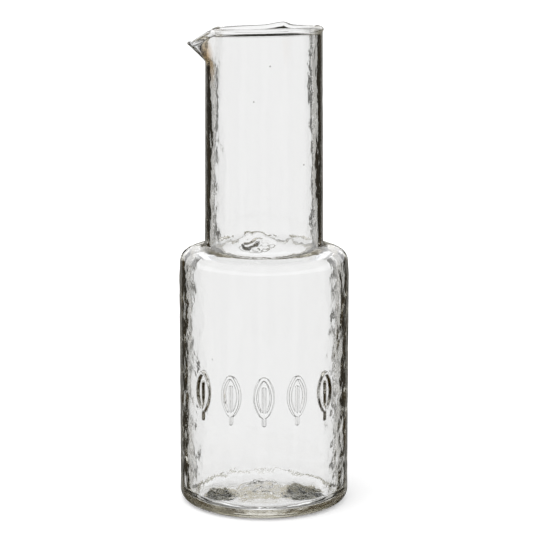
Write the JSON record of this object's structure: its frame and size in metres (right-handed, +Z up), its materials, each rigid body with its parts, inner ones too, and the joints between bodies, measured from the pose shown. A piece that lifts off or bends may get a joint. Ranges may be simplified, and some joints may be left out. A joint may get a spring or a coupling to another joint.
{
  "type": "glass carafe",
  "caption": "Clear blown-glass carafe with a heavy base, a straight body, a rounded shoulder, a narrower straight neck and a pulled pouring spout.",
  "frame": {"origin": "middle of the base, on the surface the carafe stands on", "axes": "+Z up along the axis of the body and neck, the spout points to -X, the raised leaves face -Y"},
  "size_m": [0.086, 0.087, 0.2436],
  "materials": {
    "glass": "clear, softly hammered, with a fire-polished rim"
  },
  "bodies": {
    "root": {"base": "glass", "body_wall": "glass", "shoulder": "glass", "neck_wall": "glass", "rim": "glass", "pouring_spout": "glass"}
  },
  "joints": []
}
